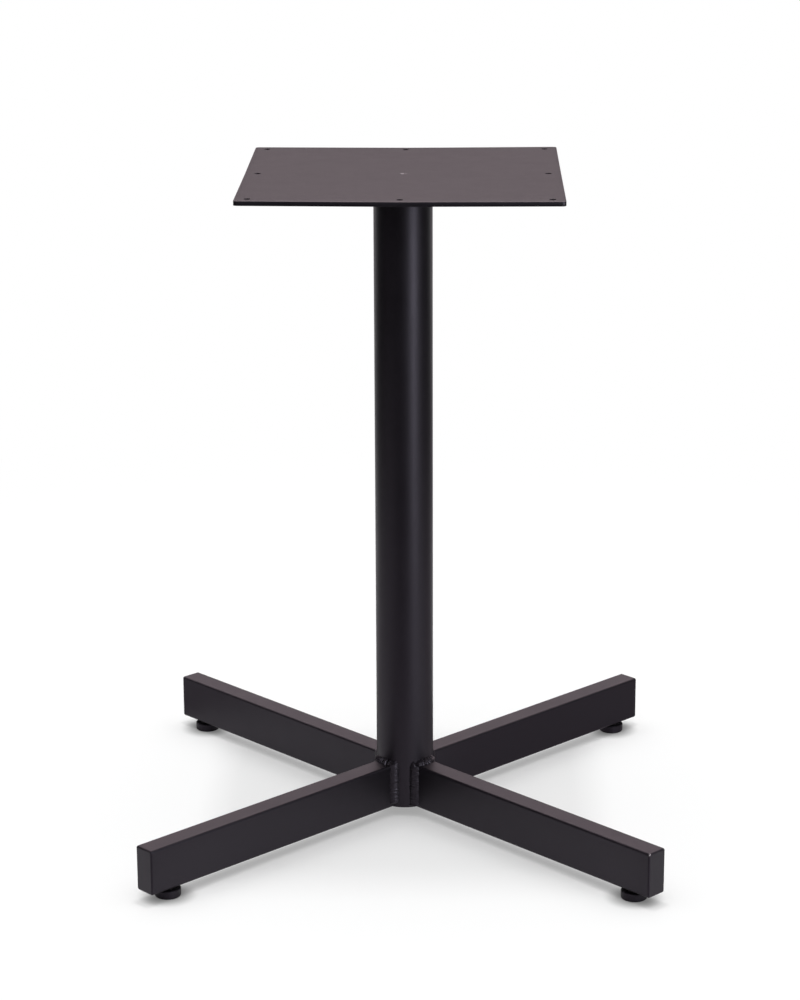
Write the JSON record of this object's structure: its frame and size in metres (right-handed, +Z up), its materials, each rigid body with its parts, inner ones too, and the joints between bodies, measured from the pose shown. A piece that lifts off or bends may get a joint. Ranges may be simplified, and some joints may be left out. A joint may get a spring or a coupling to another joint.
{
  "type": "star table base",
  "caption": "Welded steel table base: square top plate with screw holes on a round column, with a star of rectangular tube legs standing on screw-in levelling glides.",
  "frame": {"origin": "on the floor, under the column's axis", "axes": "+Z up the column; +X to the right and +Y to the rear, along the edges of the top plate, with the legs on the diagonals"},
  "size_m": [0.5506, 0.5506, 0.7255],
  "materials": {
    "black_powder_coat": "satin fine-texture powder coat",
    "pad_plastic": "moulded matt",
    "stud_steel": "blackened",
    "nut_steel": "plain"
  },
  "bodies": {
    "base": {"top_plate": "black_powder_coat", "column_tube": "black_powder_coat", "plate_weld": "black_powder_coat", "leg_front_left": "black_powder_coat", "leg_end_plate_front_left": "black_powder_coat", "leg_weld_front_left": "black_powder_coat", "weld_nut_front_left": "nut_steel", "leg_front_right": "black_powder_coat", "leg_end_plate_front_right": "black_powder_coat", "leg_weld_front_right": "black_powder_coat", "weld_nut_front_right": "nut_steel", "leg_rear_right": "black_powder_coat", "leg_end_plate_rear_right": "black_powder_coat", "leg_weld_rear_right": "black_powder_coat", "weld_nut_rear_right": "nut_steel", "leg_rear_left": "black_powder_coat", "leg_end_plate_rear_left": "black_powder_coat", "leg_weld_rear_left": "black_powder_coat", "weld_nut_rear_left": "nut_steel"},
    "pad_front_left": {"glide_pad_front_left": "pad_plastic"},
    "stud_front_left": {"glide_stud_front_left": "stud_steel"},
    "pad_front_right": {"glide_pad_front_right": "pad_plastic"},
    "stud_front_right": {"glide_stud_front_right": "stud_steel"},
    "pad_rear_right": {"glide_pad_rear_right": "pad_plastic"},
    "stud_rear_right": {"glide_stud_rear_right": "stud_steel"},
    "pad_rear_left": {"glide_pad_rear_left": "pad_plastic"},
    "stud_rear_left": {"glide_stud_rear_left": "stud_steel"}
  },
  "joints": [
    {"name": "glide_travel_front_left", "type": "slide", "parent": "base", "child": "pad_front_left", "axis": [0, 0, -1], "range_m": [0, 0.01]},
    {"name": "glide_screw_front_left", "type": "hinge", "parent": "pad_front_left", "child": "stud_front_left", "pos_m": [-0.24537, -0.24537, 0.012], "axis": [0, 0, -1], "range_deg": [0, 2880]},
    {"name": "glide_travel_front_right", "type": "slide", "parent": "base", "child": "pad_front_right", "axis": [0, 0, -1], "range_m": [0, 0.01]},
    {"name": "glide_screw_front_right", "type": "hinge", "parent": "pad_front_right", "child": "stud_front_right", "pos_m": [0.24537, -0.24537, 0.012], "axis": [0, 0, -1], "range_deg": [0, 2880]},
    {"name": "glide_travel_rear_right", "type": "slide", "parent": "base", "child": "pad_rear_right", "axis": [0, 0, -1], "range_m": [0, 0.01]},
    {"name": "glide_screw_rear_right", "type": "hinge", "parent": "pad_rear_right", "child": "stud_rear_right", "pos_m": [0.24537, 0.24537, 0.012], "axis": [0, 0, -1], "range_deg": [0, 2880]},
    {"name": "glide_travel_rear_left", "type": "slide", "parent": "base", "child": "pad_rear_left", "axis": [0, 0, -1], "range_m": [0, 0.01]},
    {"name": "glide_screw_rear_left", "type": "hinge", "parent": "pad_rear_left", "child": "stud_rear_left", "pos_m": [-0.24537, 0.24537, 0.012], "axis": [0, 0, -1], "range_deg": [0, 2880]}
  ],
  "couplings": [
    {"joint": "glide_screw_front_left", "follows": "glide_travel_front_left", "rad_per_m": 5026.5},
    {"joint": "glide_screw_front_right", "follows": "glide_travel_front_right", "rad_per_m": 5026.5},
    {"joint": "glide_screw_rear_right", "follows": "glide_travel_rear_right", "rad_per_m": 5026.5},
    {"joint": "glide_screw_rear_left", "follows": "glide_travel_rear_left", "rad_per_m": 5026.5}
  ]
}
